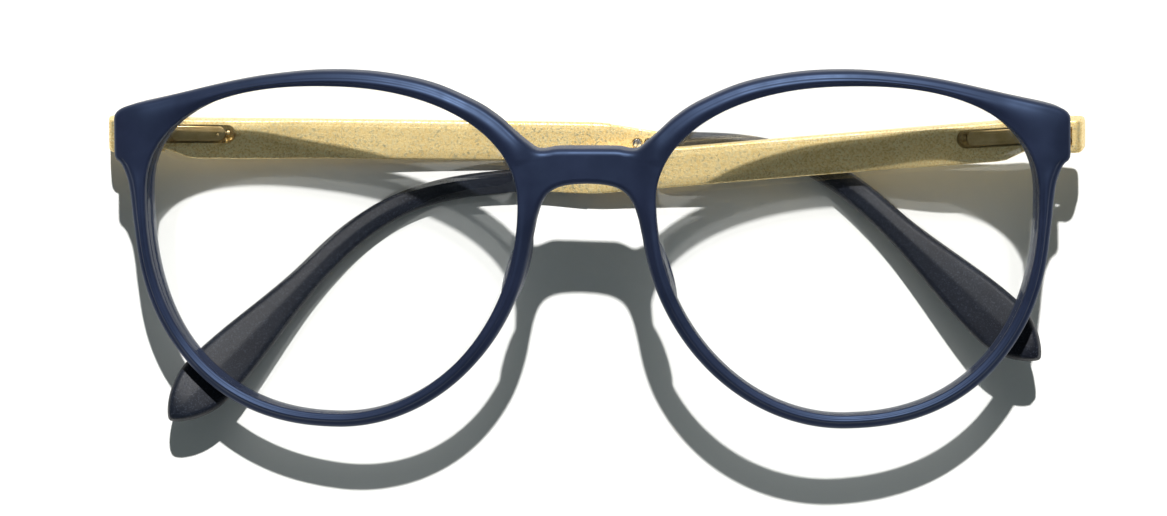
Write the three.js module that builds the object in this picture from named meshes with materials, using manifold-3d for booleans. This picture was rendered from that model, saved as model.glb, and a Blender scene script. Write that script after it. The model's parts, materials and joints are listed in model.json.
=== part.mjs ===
// Full-rim eyeglasses with spring hinges, lying lens side up on a flat surface.
// Both temples are folded under the front. Units are millimetres and +Z is up.
// +X runs along the front, +Y points to its top edge, and the surface is at z = 0.

import * as THREE from 'three';
import { mergeVertices } from 'three/addons/utils/BufferGeometryUtils.js';
import Module from 'manifold-3d';

const wasm = await Module();
wasm.setup();

// ---------------------------------------------------------------- driving dimensions

// Front: boxed lens sizes, and how wide and thick the rim is around them.
const LENS_BOX = 51;
const BRIDGE = 17;
const GROOVE_GRIP = 0.5;
const OPENING = {
  centreX: (BRIDGE + LENS_BOX) / 2 - 0.4,
  nasal: 24.6, temporal: 25.4, top: 15.2, bottom: 28.35,
  powerTopTemporal: 2.35, powerTopNasal: 2.14, powerBottomNasal: 1.97, powerBottomTemporal: 2.28,
};
const RIM_WIDTH = { nasal: 2.1, temporal: 1.75, bottom: 1.85 };
const FRONT_BOW_RADIUS = 244;
const FRONT_TILT_RADIUS = 300;
const RIM_THICKNESS = 3.6;
const BRIDGE_THICKNESS = 4.6;
const BRIDGE_BLEND = [4.5, 7.5];
const BRIDGE_SETBACK = 1.6;
const SETBACK_BLEND = [4.5, 9.5];
const ENDPIECE_THICKNESS = 4.6;
const ENDPIECE_BLEND = [54, 60];
const EDGE_BEVEL = 0.5;
const OUTLINE_STEPS = 48;

// Lens: a clear sheet with a bevelled edge that sits in a groove of the rim.
const LENS_THICKNESS = 1.8;
const LENS_APEX_THICKNESS = 0.12;
const GROOVE_CLEARANCE = 0.3;

// Nose pad: a leaning oval on the back of the rim that splays towards the nose.
const NOSE_PAD = {
  x: 9.55, y: -9.2, lean: THREE.MathUtils.degToRad(17), halfWidth: 1.35, halfHeight: 5.6, splay: 0.12, steps: 18,
};

// Pose: how the front leans over the surface.
const FRONT_PITCH = THREE.MathUtils.degToRad(8.5);
const FRONT_ROLL = THREE.MathUtils.degToRad(2.7);

// Hinge: pin place in the front's frame, and the bracket that carries it.
const PIN_X = 60.4;
const PIN_Y = 7.3;
const PIN_RADIUS = 0.6;
const SEAT_Z = -9.7;
const PIN_DROP = 4.6;
const EAR_THICKNESS = 0.7;
const EAR_RADIUS = 1.35;
const EAR_INNER_Y = 2.4;
const PLATE = { inner: -1.45, outer: 1.6, thickness: 1.0, gap: 0.2 };
const ANCHOR = { radius: 0.5, headRadius: 0.85, depth: 1.2, headHeight: 0.4, x: 0.4, y: 1.3 };
const HINGE_HEAD = { radius: 1.0, sunk: 0.45, proud: 0.1, slotWidth: 0.28, slotDepth: 0.2 };

// Temple: lengths are measured from the pin along the temple.
const BUTT_REACH = 4.2;
const BUTT_END = 3.2;
const BUTT_HALF_THICKNESS = 2.4;
const BUTT_HALF_HEIGHT = 2.2;
const BLADE_HALF_HEIGHT = 2.6;
const BLADE_THICKNESS = 1.8;
const POCKET_THICKNESS = 2.9;
const BLADE_DROP = 0.75;
const NARROWS_AT = 60;
const TONGUE_START = 62.6;
const TONGUE_END = 71;
const TONGUE_THICKNESS = 0.8;
const LAP_INSET = 0.4;
const NECK_HALF_HEIGHT = 1.5;
const TIP_END = 131.2;
const EAR_BEND = { start: 74, length: 30, angle: THREE.MathUtils.degToRad(41.4) };
const BLADE_BOW_RADIUS = 855;
const TIP_BOW_START = 72;
const TIP_BOW_RADIUS = 140;
const TIP_THICKNESS = 3.4;
const PADDLE_HALF_HEIGHT = 3.7;
const TIP_SCREW = { radius: 0.35, headRadius: 0.6, length: 1.45, headHeight: 0.3, places: [66.2, 67.8] };

// Spring hinge inside the blade: pocket, slider, collar, coil spring and cap.
const POCKET = { halfHeight: 1.25, start: -2.95, end: 12.6, floor: -1.7 };
const POCKET_TURN_SHARE = 0.75;
const SLIDER = { halfHeight: 1.05, bottom: -1.5, top: -0.45, end: 6.2, eyeRadius: 1.25 };
const ROD = { radius: 0.22, z: -1.0, end: 11.4, headRadius: 0.5, headLength: 0.5 };
const COLLAR = { start: 7.9, end: 8.7, holeRadius: 0.4 };
const SPRING = { start: 8.9, end: 11.2, meanRadius: 0.42, wireRadius: 0.09, turns: 5 };
const CAP = { start: 3.9, end: 11.3, bottom: -0.25, top: 0.2 };
const SLIDE_TRAVEL = 1.5;
const FIT_GAP = 0.15;

// Each side has its own fold under the front and its own tilt, as fitted to a wearer.
const SIDES = [
  { name: 'left', sign: 1, fold: THREE.MathUtils.degToRad(5.9), tilt: THREE.MathUtils.degToRad(5.3) },
  { name: 'right', sign: -1, fold: THREE.MathUtils.degToRad(8.05), tilt: THREE.MathUtils.degToRad(1.4) },
];

// ---------------------------------------------------------------- materials

const FINISHES = {
  navyAcetate: { color: 0x2a3358, roughness: 0.42, metalness: 0 },
  clearLens: { color: 0xf2f7f4, roughness: 0.05, metalness: 0, transparent: true, opacity: 0.35 },
  goldBlade: { color: 0xe2bf6e, roughness: 0.45, metalness: 1 },
  goldHardware: { color: 0xc9a04e, roughness: 0.3, metalness: 1 },
  springSteel: { color: 0xb9bcc0, roughness: 0.25, metalness: 1 },
  darkTip: { color: 0x1b1e28, roughness: 0.5, metalness: 0 },
};

// ---------------------------------------------------------------- geometry helpers

const smooth = (from, to, value) => THREE.MathUtils.smoothstep(value, from, to);

function positionsOnly(geometry) {
  const bare = geometry.clone();
  bare.deleteAttribute('normal');
  bare.deleteAttribute('uv');
  return mergeVertices(bare, 1e-4);
}

function toManifold(geometry) {
  const merged = positionsOnly(geometry);
  return new wasm.Manifold(new wasm.Mesh({
    numProp: 3,
    vertProperties: new Float32Array(merged.attributes.position.array),
    triVerts: new Uint32Array(merged.index.array),
  }));
}

function fromManifold(solid) {
  const mesh = solid.getMesh();
  const geometry = new THREE.BufferGeometry();
  geometry.setAttribute('position', new THREE.BufferAttribute(new Float32Array(mesh.vertProperties), 3));
  geometry.setIndex(new THREE.BufferAttribute(new Uint32Array(mesh.triVerts), 1));
  geometry.computeVertexNormals();
  return geometry;
}

function join(...geometries) {
  return fromManifold(geometries.map(toManifold).reduce((all, next) => all.add(next)));
}

function cut(body, ...tools) {
  return fromManifold(tools.map(toManifold).reduce((left, tool) => left.subtract(tool), toManifold(body)));
}

// A closed solid through a row of rings with the same number of points each.
// The first and last rings are closed by a fan around their own centres.
function ringSolid(rings) {
  const count = rings[0].length;
  const points = rings.flat();
  const index = [];
  for (let ring = 0; ring < rings.length - 1; ring += 1) {
    for (let i = 0; i < count; i += 1) {
      const next = (i + 1) % count;
      const a = ring * count + i;
      const b = ring * count + next;
      index.push(a, b, b + count, a, b + count, a + count);
    }
  }
  const ends = [rings[0], rings[rings.length - 1]];
  ends.forEach((ring, end) => {
    const centre = ring.reduce((sum, point) => sum.add(point), new THREE.Vector3()).divideScalar(count);
    const hub = points.push(centre) - 1;
    const base = end === 0 ? 0 : (rings.length - 1) * count;
    for (let i = 0; i < count; i += 1) {
      const next = (i + 1) % count;
      if (end === 0) index.push(hub, base + next, base + i);
      else index.push(hub, base + i, base + next);
    }
  });
  const geometry = new THREE.BufferGeometry().setFromPoints(points);
  geometry.setIndex(index);
  geometry.computeVertexNormals();
  return geometry;
}

function box(fromX, toX, fromY, toY, fromZ, toZ) {
  const geometry = new THREE.BoxGeometry(toX - fromX, toY - fromY, toZ - fromZ);
  return geometry.translate((fromX + toX) / 2, (fromY + toY) / 2, (fromZ + toZ) / 2);
}

function rod(radius, from, to, axis, segments = 12) {
  const geometry = new THREE.CylinderGeometry(radius, radius, to - from, segments);
  geometry.translate(0, (from + to) / 2, 0);
  if (axis === 'x') geometry.rotateZ(-Math.PI / 2);
  if (axis === 'z') geometry.rotateX(Math.PI / 2);
  return geometry;
}

// A slot with round ends along x, cut from one height to another.
function obround(fromX, toX, halfHeight, fromZ, toZ) {
  const shape = new THREE.Shape();
  shape.absarc(toX - halfHeight, 0, halfHeight, -Math.PI / 2, Math.PI / 2);
  shape.absarc(fromX + halfHeight, 0, halfHeight, Math.PI / 2, 1.5 * Math.PI);
  const geometry = new THREE.ExtrudeGeometry(shape, {
    depth: toZ - fromZ, bevelEnabled: false, curveSegments: 8,
  });
  return geometry.translate(0, 0, fromZ);
}

function mirrored(geometry) {
  const copy = positionsOnly(geometry.index ? geometry : mergeVertices(geometry));
  copy.scale(-1, 1, 1);
  const index = copy.index.array;
  for (let i = 0; i < index.length; i += 3) {
    [index[i + 1], index[i + 2]] = [index[i + 2], index[i + 1]];
  }
  copy.computeVertexNormals();
  return copy;
}

// Temple geometry is drawn with x running to +X, as on the side whose hinge is at -X.
const onSide = (side, geometry) => (side.sign > 0 ? mirrored(geometry) : geometry);

// ---------------------------------------------------------------- front

// The bow of the front: a flat pattern wrapped on a shallow dome, with the bridge set back.
function bow(point) {
  const angle = point.x / FRONT_BOW_RADIUS;
  const setBack = BRIDGE_SETBACK * (1 - smooth(...SETBACK_BLEND, Math.abs(point.x)));
  const radius = FRONT_BOW_RADIUS + point.z - setBack;
  const drop = point.y ** 2 / (2 * FRONT_TILT_RADIUS);
  return new THREE.Vector3(
    radius * Math.sin(angle),
    point.y,
    radius * Math.cos(angle) - FRONT_BOW_RADIUS - drop,
  );
}

function bowed(geometry) {
  const position = geometry.attributes.position;
  const point = new THREE.Vector3();
  for (let i = 0; i < position.count; i += 1) {
    point.fromBufferAttribute(position, i);
    const result = bow(point);
    position.setXYZ(i, result.x, result.y, result.z);
  }
  geometry.computeVertexNormals();
  return geometry;
}

// A point of the lens opening on the +X side, grown outwards by the given widths.
function openingPoint(turn, grow) {
  const cos = Math.cos(turn);
  const sin = Math.sin(turn);
  const temporal = cos >= 0;
  const upper = sin >= 0;
  const reachX = temporal ? OPENING.temporal + grow.temporal : OPENING.nasal + grow.nasal;
  const reachY = upper ? OPENING.top + grow.top : OPENING.bottom + grow.bottom;
  const topPower = temporal ? OPENING.powerTopTemporal : OPENING.powerTopNasal;
  const bottomPower = temporal ? OPENING.powerBottomTemporal : OPENING.powerBottomNasal;
  const power = 2 / (upper ? topPower : bottomPower);
  return new THREE.Vector2(
    OPENING.centreX + Math.sign(cos) * reachX * Math.abs(cos) ** power,
    Math.sign(sin) * reachY * Math.abs(sin) ** power,
  );
}

const evenGrow = (grow) => ({ nasal: grow, temporal: grow, top: grow, bottom: grow });

function openingOutline(grow) {
  return Array.from({ length: OUTLINE_STEPS }, (_, i) => (
    openingPoint((i / OUTLINE_STEPS) * 2 * Math.PI, evenGrow(grow))
  ));
}

// Half of the front's outline: bridge top, brow, endpiece, lower rim, bridge arch.
function halfOutline() {
  const brow = new THREE.SplineCurve([
    [0, 7.25], [3.9, 7.22], [5.3, 7.0], [6.5, 7.05], [7.4, 7.7], [9.4, 9.45], [11.6, 11.4],
    [14.8, 13.4], [20.6, 15.75], [27.5, 17.0], [34.4, 17.2], [41, 16.6], [47.5, 15.45],
    [56.4, 13.25], [60.5, 12.25], [62.35, 11.6], [63.2, 10.75], [63.3, 9.6],
  ].map(([x, y]) => new THREE.Vector2(x, y)));
  const shoulder = new THREE.SplineCurve([
    [63.3, 5.4], [63.0, 4.8], [62.4, 4.35], [61.95, 3.5], [61.45, 2.1], [61.1, 0], [60.85, -2.6],
  ].map(([x, y]) => new THREE.Vector2(x, y)));
  const arch = new THREE.SplineCurve([
    [6.75, -2.2], [6.1, -0.2], [5.2, 1.2], [3.9, 2.05], [2.1, 2.48], [0, 2.6],
  ].map(([x, y]) => new THREE.Vector2(x, y)));
  const lowerRim = [];
  const rimSteps = 34;
  const fromTurn = THREE.MathUtils.degToRad(-10);
  const toTurn = THREE.MathUtils.degToRad(-171);
  for (let i = 0; i <= rimSteps; i += 1) {
    lowerRim.push(openingPoint(THREE.MathUtils.lerp(fromTurn, toTurn, i / rimSteps), RIM_WIDTH));
  }
  return [...brow.getPoints(38), ...shoulder.getPoints(9), ...lowerRim, ...arch.getPoints(9)];
}

function frontThickness(x) {
  const across = Math.abs(x);
  const bridge = (1 - smooth(...BRIDGE_BLEND, across)) * (BRIDGE_THICKNESS - RIM_THICKNESS);
  const endpiece = smooth(...ENDPIECE_BLEND, across) * (ENDPIECE_THICKNESS - RIM_THICKNESS);
  return RIM_THICKNESS + bridge + endpiece;
}

function frontBlank() {
  const right = halfOutline();
  const left = right.slice(1, -1).reverse().map((point) => new THREE.Vector2(-point.x, point.y));
  const shape = new THREE.Shape([...right, ...left]);
  const rightHole = openingOutline(0);
  const leftHole = rightHole.map((point) => new THREE.Vector2(-point.x, point.y)).reverse();
  shape.holes.push(new THREE.Path(rightHole), new THREE.Path(leftHole));
  const blank = new THREE.ExtrudeGeometry(shape, {
    depth: 1, bevelEnabled: true, bevelThickness: EDGE_BEVEL, bevelSize: EDGE_BEVEL,
    bevelOffset: -EDGE_BEVEL, bevelSegments: 1, steps: 1,
  });
  blank.translate(0, 0, -0.5);
  const position = blank.attributes.position;
  for (let i = 0; i < position.count; i += 1) {
    const z = position.getZ(i);
    const stretch = frontThickness(position.getX(i)) / 2 - 0.5 - EDGE_BEVEL;
    position.setZ(i, z + Math.sign(z) * stretch);
  }
  return bowed(blank);
}

// Rings of a lens-shaped solid, listed from its front face to its back face.
function lensRings(profile) {
  return profile.map(({ share, grow, z }) => openingOutline(grow).map((point) => bow(new THREE.Vector3(
    OPENING.centreX + (point.x - OPENING.centreX) * share,
    point.y * share,
    z,
  ))));
}

function lensSolid() {
  const face = LENS_THICKNESS / 2;
  const shoulder = { share: 1, grow: -0.45 };
  return ringSolid(lensRings([
    { share: 0.5, grow: 0, z: face },
    { ...shoulder, z: face },
    { share: 1, grow: GROOVE_GRIP, z: LENS_APEX_THICKNESS / 2 },
    { share: 1, grow: GROOVE_GRIP, z: -LENS_APEX_THICKNESS / 2 },
    { ...shoulder, z: -face },
    { share: 0.5, grow: 0, z: -face },
  ]).reverse());
}

function grooveCutter() {
  const mouth = LENS_THICKNESS / 2;
  const depth = GROOVE_GRIP + GROOVE_CLEARANCE;
  const apex = LENS_APEX_THICKNESS / 2 + GROOVE_CLEARANCE / 3;
  return ringSolid(lensRings([
    { share: 1, grow: -0.1, z: mouth },
    { share: 1, grow: depth, z: apex },
    { share: 1, grow: depth, z: -apex },
    { share: 1, grow: -0.1, z: -mouth },
  ]).reverse());
}

// Where the two anchor pins of a bracket stand, measured from the hinge pin.
const anchorPlaces = [[ANCHOR.x, -ANCHOR.y], [ANCHOR.x, ANCHOR.y]];

function hingeSeatCutters() {
  const reach = 12;
  const seat = box(PIN_X - 0.2, PIN_X + reach, PIN_Y - reach, PIN_Y + reach, SEAT_Z - reach, SEAT_Z);
  const halfY = EAR_INNER_Y + EAR_THICKNESS + PLATE.gap;
  const recess = box(
    PIN_X + PLATE.inner - PLATE.gap, PIN_X + PLATE.outer + PLATE.gap,
    PIN_Y - halfY, PIN_Y + halfY,
    SEAT_Z - reach, SEAT_Z + PLATE.thickness + PLATE.gap,
  );
  const holes = anchorPlaces.map(([x, y]) => rod(
    ANCHOR.radius + FIT_GAP, SEAT_Z - 1, SEAT_Z + PLATE.thickness + ANCHOR.depth + FIT_GAP, 'z', 12,
  ).translate(PIN_X + x, PIN_Y + y, 0));
  return [seat, recess, ...holes];
}

function frontFrame() {
  const groove = grooveCutter();
  const seats = hingeSeatCutters();
  const tools = [groove, ...seats];
  return cut(frontBlank(), ...tools, ...tools.map(mirrored));
}

// A pad bonded to the back of the rim beside the nose, as a low oval cushion.
// Each layer gives its depth behind the rim and its share of the oval's size.
function nosePad() {
  const layers = [[0, 1], [0.5, 0.97], [1.3, 0.84], [1.9, 0.6], [2.2, 0.3]];
  const centre = new THREE.Vector2(NOSE_PAD.x, NOSE_PAD.y);
  const back = RIM_THICKNESS / 2 + 4 * FIT_GAP;
  const rings = layers.map(([depth, share]) => Array.from({ length: NOSE_PAD.steps }, (_, i) => {
    const turn = (i / NOSE_PAD.steps) * 2 * Math.PI;
    const flat = new THREE.Vector2(NOSE_PAD.halfWidth * Math.cos(turn), NOSE_PAD.halfHeight * Math.sin(turn));
    flat.multiplyScalar(share).rotateAround(new THREE.Vector2(), NOSE_PAD.lean).add(centre);
    return bow(new THREE.Vector3(flat.x - NOSE_PAD.splay * depth, flat.y, -back - depth));
  }));
  return ringSolid(rings.reverse());
}

// ---------------------------------------------------------------- hinge

function hingeBracket() {
  const outerY = EAR_INNER_Y + EAR_THICKNESS;
  const plate = box(PLATE.inner, PLATE.outer, -outerY, outerY, PIN_DROP, PIN_DROP + PLATE.thickness);
  const ears = [-1, 1].map((sign) => {
    const ear = new THREE.Shape();
    ear.moveTo(-EAR_RADIUS, PIN_DROP + 0.4);
    ear.lineTo(-EAR_RADIUS, 0);
    ear.absarc(0, 0, EAR_RADIUS, Math.PI, 2 * Math.PI);
    ear.lineTo(EAR_RADIUS, PIN_DROP + 0.4);
    const solid = new THREE.ExtrudeGeometry(ear, {
      depth: EAR_THICKNESS, bevelEnabled: false, curveSegments: 12,
    });
    solid.rotateX(Math.PI / 2);
    const top = sign > 0 ? outerY : -EAR_INNER_Y;
    return solid.translate(0, top, 0);
  });
  const bore = rod(PIN_RADIUS + FIT_GAP / 2, -outerY - 1, outerY + 1, 'y');
  const headSeat = rod(HINGE_HEAD.radius + FIT_GAP, outerY - HINGE_HEAD.sunk, outerY + 1, 'y');
  const holes = anchorPlaces.flatMap(([x, y]) => [
    rod(ANCHOR.radius + FIT_GAP, PIN_DROP - 1, PIN_DROP + 3, 'z', 12).translate(x, y, 0),
    rod(ANCHOR.headRadius + FIT_GAP, PIN_DROP - 1, PIN_DROP + ANCHOR.headHeight, 'z', 12).translate(x, y, 0),
  ]);
  return cut(join(plate, ...ears), bore, headSeat, ...holes);
}

function hingeScrew() {
  const outerY = EAR_INNER_Y + EAR_THICKNESS;
  const top = outerY + HINGE_HEAD.proud;
  const head = rod(HINGE_HEAD.radius, outerY - HINGE_HEAD.sunk + FIT_GAP, top, 'y');
  const shank = rod(PIN_RADIUS, -outerY, top - 2 * HINGE_HEAD.slotDepth, 'y');
  const halfSlot = HINGE_HEAD.slotWidth / 2;
  const slot = box(-2, 2, top - HINGE_HEAD.slotDepth, top + 1, -halfSlot, halfSlot);
  return cut(join(head, shank), slot);
}

function anchorPin([x, y]) {
  const top = PIN_DROP + ANCHOR.headHeight;
  const head = rod(ANCHOR.headRadius, PIN_DROP, top - FIT_GAP, 'z', 12);
  const shank = rod(ANCHOR.radius, PIN_DROP + 0.1, PIN_DROP + PLATE.thickness + ANCHOR.depth, 'z', 12);
  return join(head, shank).translate(x, y, 0);
}

// ---------------------------------------------------------------- temple

const SPINE_STEP = 0.25;

// Centre line of the temple's outer face, with its heading in the plane and its lean inwards.
function templeSpine(tilt) {
  const rows = [{ s: -BUTT_REACH, x: -BUTT_REACH, y: 0, z: 0, heading: 0, lean: 0 }];
  const count = Math.round((TIP_END + BUTT_REACH) / SPINE_STEP);
  for (let i = 1; i <= count; i += 1) {
    const last = rows[i - 1];
    const s = -BUTT_REACH + i * SPINE_STEP;
    const bend = smooth(EAR_BEND.start, EAR_BEND.start + EAR_BEND.length, s) * EAR_BEND.angle;
    const heading = -tilt * smooth(BUTT_END - 0.4, BUTT_END + 0.4, s) - bend;
    const blade = Math.max(s, 0) / BLADE_BOW_RADIUS;
    const tip = Math.max(s - TIP_BOW_START, 0) * (1 / TIP_BOW_RADIUS - 1 / BLADE_BOW_RADIUS);
    const lean = blade + tip;
    rows.push({
      s,
      x: last.x + SPINE_STEP * Math.cos(heading) * Math.cos(lean),
      y: last.y + SPINE_STEP * Math.sin(heading) * Math.cos(lean),
      z: last.z + SPINE_STEP * Math.sin(lean),
      heading,
      lean,
    });
  }
  return (s) => {
    const place = THREE.MathUtils.clamp((s + BUTT_REACH) / SPINE_STEP, 0, count - 1e-6);
    const low = rows[Math.floor(place)];
    const high = rows[Math.floor(place) + 1];
    const share = place - Math.floor(place);
    const mix = (key) => THREE.MathUtils.lerp(low[key], high[key], share);
    return { x: mix('x'), y: mix('y'), z: mix('z'), heading: mix('heading'), lean: mix('lean') };
  };
}

// A point of the temple: along it, up across its height, and inwards from its outer face.
function templePoint(spine, s, up, inward) {
  const row = spine(s);
  const across = new THREE.Vector3(-Math.sin(row.heading), Math.cos(row.heading), 0);
  const along = new THREE.Vector3(
    Math.cos(row.heading) * Math.cos(row.lean),
    Math.sin(row.heading) * Math.cos(row.lean),
    Math.sin(row.lean),
  );
  const through = along.clone().cross(across);
  const drop = BLADE_DROP * smooth(BUTT_END - 0.2, BUTT_END + 4, s);
  return new THREE.Vector3(row.x, row.y, row.z - BUTT_HALF_THICKNESS)
    .addScaledVector(across, up - drop)
    .addScaledVector(through, inward);
}

// A closed bar along the temple. Each section gives its place, half height, and its
// depth range from the outer face; its corners are chamfered, and a ridge may rise
// in the middle of the inner side.
function templeBar(spine, sections) {
  const rings = sections.map(({ s, half, from, to, chamfer = 0.3, ridge = 0 }) => {
    const corner = Math.min(chamfer, half * 0.45, (to - from) * 0.45);
    const profile = [
      [half, from + corner], [half, to - corner], [half - corner, to], [0, to + ridge],
      [-half + corner, to], [-half, to - corner], [-half, from + corner],
      [-half + corner, from], [0, from], [half - corner, from],
    ];
    return profile.map(([up, inward]) => templePoint(spine, s, up, inward));
  });
  return ringSolid(rings);
}

function bladeHalfHeight(s) {
  const butt = BUTT_HALF_HEIGHT;
  const blade = THREE.MathUtils.lerp(butt, BLADE_HALF_HEIGHT, smooth(BUTT_END, BUTT_END + 4, s));
  return THREE.MathUtils.lerp(blade, NECK_HALF_HEIGHT, smooth(NARROWS_AT, TONGUE_END, s));
}

function bladeThickness(s) {
  if (s < BUTT_END) return 2 * BUTT_HALF_THICKNESS;
  return THREE.MathUtils.lerp(POCKET_THICKNESS, BLADE_THICKNESS, smooth(POCKET.end + 1, POCKET.end + 12, s));
}

function templeBlade(side, spine) {
  const section = (s, from = 0, chamfer = 0.3) => ({
    s, half: bladeHalfHeight(s), from, to: bladeThickness(s), chamfer,
  });
  const edge = 0.05;
  const buttFace = section(-BUTT_REACH, 0, 0.9);
  buttFace.half -= 0.3;
  buttFace.from += 0.3;
  buttFace.to -= 0.9;
  const tongue = (s, trim = 0) => ({
    s,
    half: bladeHalfHeight(s) - trim,
    from: BLADE_THICKNESS - TONGUE_THICKNESS,
    to: BLADE_THICKNESS,
    chamfer: 0.15,
  });
  const bladeStations = [5, 7, 10, POCKET.end + 1, 17, 21, POCKET.end + 12, 31, 38, 46, 54, 60];
  const sections = [
    buttFace,
    { ...section(-BUTT_REACH + 0.35, 0.05, 0.4), to: 2 * BUTT_HALF_THICKNESS - 0.3 },
    ...[-BUTT_REACH + 1, -1, BUTT_END - edge, BUTT_END + edge].map((s) => section(s)),
    ...bladeStations.map((s) => section(s)),
    section(TONGUE_START - edge),
    tongue(TONGUE_START), tongue(65), tongue(67), tongue(69), tongue(TONGUE_END - 0.8),
    tongue(TONGUE_END - 0.2, 0.3), tongue(TONGUE_END, 0.8),
  ];
  const bar = templeBar(spine, sections);
  const pocketTop = 3 * BUTT_HALF_THICKNESS;
  const pinSlot = join(
    ...[0, -SLIDE_TRAVEL].map((x) => rod(PIN_RADIUS + FIT_GAP, -6, 6, 'y').translate(x, 0, 0)),
    box(-SLIDE_TRAVEL, 0, -6, 6, -PIN_RADIUS - FIT_GAP, PIN_RADIUS + FIT_GAP),
  );
  const pocket = inPocket(side, obround(POCKET.start, POCKET.end, POCKET.halfHeight, POCKET.floor, pocketTop));
  const throat = box(POCKET.start, BUTT_END - 1, -POCKET.halfHeight, POCKET.halfHeight, POCKET.floor, pocketTop);
  const holes = TIP_SCREW.places.flatMap((s) => [
    templeRod(spine, s, TIP_SCREW.radius + FIT_GAP, -1, BLADE_THICKNESS + 1),
    templeRod(spine, s, TIP_SCREW.headRadius + FIT_GAP, BLADE_THICKNESS - TIP_SCREW.headHeight, BLADE_THICKNESS + 1),
  ]);
  return cut(bar, pocket, throat, pinSlot, ...holes);
}

// The pocket and what lies in it follow the blade's tilt beyond the pin.
function inPocket(side, geometry) {
  return geometry.rotateZ(-side.tilt * POCKET_TURN_SHARE);
}

// A round cutter or pin through the temple's thickness at one place.
function templeRod(spine, s, radius, from, to) {
  const low = templePoint(spine, s, 0, from);
  const high = templePoint(spine, s, 0, to);
  const geometry = rod(radius, 0, low.distanceTo(high), 'y', 12);
  const turn = new THREE.Quaternion().setFromUnitVectors(
    new THREE.Vector3(0, 1, 0), high.clone().sub(low).normalize(),
  );
  return geometry.applyQuaternion(turn).translate(low.x, low.y, low.z);
}

function tipScrew(spine, s) {
  const top = BLADE_THICKNESS;
  const head = templeRod(spine, s, TIP_SCREW.headRadius, top - TIP_SCREW.headHeight + FIT_GAP, top + 0.1);
  const shank = templeRod(spine, s, TIP_SCREW.radius, top - TIP_SCREW.length, top);
  return join(head, shank);
}

function tipHalfHeight(s) {
  const neck = THREE.MathUtils.lerp(NECK_HALF_HEIGHT, 1.8, smooth(84, 104, s));
  return THREE.MathUtils.lerp(neck, PADDLE_HALF_HEIGHT, smooth(102, 124, s));
}

function templeTip(spine) {
  const lapTop = BLADE_THICKNESS - TONGUE_THICKNESS - 2 * FIT_GAP;
  const lap = (s) => ({ s, half: bladeHalfHeight(s) - LAP_INSET, from: 0, to: lapTop, chamfer: 0.3 });
  const full = (s) => ({
    s,
    half: tipHalfHeight(s),
    from: 0,
    to: THREE.MathUtils.lerp(BLADE_THICKNESS, TIP_THICKNESS - 0.5, smooth(72, 112, s)),
    chamfer: THREE.MathUtils.lerp(0.3, 0.8, smooth(72, 90, s)),
    ridge: 0.5 * smooth(78, 92, s),
  });
  const endLength = 7;
  const end = (share) => {
    const s = TIP_END - endLength + endLength * share;
    const row = full(s);
    const shrink = (1 - (0.985 * share) ** 1.8) ** 0.72;
    const pinch = 0.3 + 0.7 * Math.sqrt(1 - (0.97 * share) ** 4);
    return { ...row, half: row.half * shrink, from: 0.4 * (1 - pinch), to: row.to * pinch };
  };
  const stations = [75, 78, 81, 84, 87, 90, 93, 96, 99, 102, 105, 108, 111, 114, 117, 120, 122];
  const tip = templeBar(spine, [
    ...[TONGUE_START + 0.3, 65, 67, 69, TONGUE_END + 0.25].map(lap),
    full(TONGUE_END + 0.3),
    ...stations.map(full),
    ...[0, 0.25, 0.5, 0.7, 0.85, 0.95, 1].map(end),
  ]);
  const holes = TIP_SCREW.places.map((s) => templeRod(spine, s, TIP_SCREW.radius + FIT_GAP, -1, 1));
  return cut(tip, ...holes);
}

// ---------------------------------------------------------------- spring hinge pieces

function hingeSlider(side) {
  const eye = rod(SLIDER.eyeRadius, -SLIDER.halfHeight, SLIDER.halfHeight, 'y', 16);
  const bar = box(0, SLIDER.end, -SLIDER.halfHeight, SLIDER.halfHeight, SLIDER.bottom, SLIDER.top);
  const guide = rod(ROD.radius, SLIDER.end - 0.3, ROD.end + 0.1, 'x', 10).translate(0, 0, ROD.z);
  const head = rod(ROD.headRadius, ROD.end, ROD.end + ROD.headLength, 'x', 12).translate(0, 0, ROD.z);
  const body = inPocket(side, join(eye, bar, guide, head));
  const bore = rod(PIN_RADIUS + FIT_GAP / 2, -3, 3, 'y');
  const relief = box(-4, 4, -3, 3, -3, SLIDER.bottom);
  return cut(body, bore, relief);
}

function springCollar(side) {
  const block = box(
    COLLAR.start, COLLAR.end, -SLIDER.halfHeight, SLIDER.halfHeight, SLIDER.bottom, SLIDER.top,
  );
  const hole = rod(COLLAR.holeRadius, COLLAR.start - 1, COLLAR.end + 1, 'x', 10).translate(0, 0, ROD.z);
  return inPocket(side, cut(block, hole));
}

class Helix extends THREE.Curve {
  getPoint(t, target = new THREE.Vector3()) {
    const turn = t * SPRING.turns * 2 * Math.PI;
    return target.set(
      THREE.MathUtils.lerp(SPRING.start, SPRING.end, t),
      SPRING.meanRadius * Math.cos(turn),
      ROD.z + SPRING.meanRadius * Math.sin(turn),
    );
  }
}

function hingeSpring(side) {
  const wire = new THREE.Shape();
  wire.absarc(0, 0, SPRING.wireRadius, 0, 2 * Math.PI);
  return inPocket(side, new THREE.ExtrudeGeometry(wire, {
    steps: SPRING.turns * 8, curveSegments: 2, extrudePath: new Helix(), bevelEnabled: false,
  }));
}

function springCap(side) {
  return inPocket(side, obround(CAP.start, CAP.end, SLIDER.halfHeight, CAP.bottom, CAP.top));
}

// ---------------------------------------------------------------- assembly

const glasses = new THREE.Group();
glasses.name = 'eyeglasses';

const front = new THREE.Group();
front.rotation.set(FRONT_PITCH, -FRONT_ROLL, 0);
glasses.add(front);

function addPiece(parent, name, geometry, finish) {
  const mesh = new THREE.Mesh(geometry, new THREE.MeshStandardMaterial(FINISHES[finish]));
  mesh.name = name;
  parent.add(mesh);
}

addPiece(front, 'front_frame', frontFrame(), 'navyAcetate');

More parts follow.
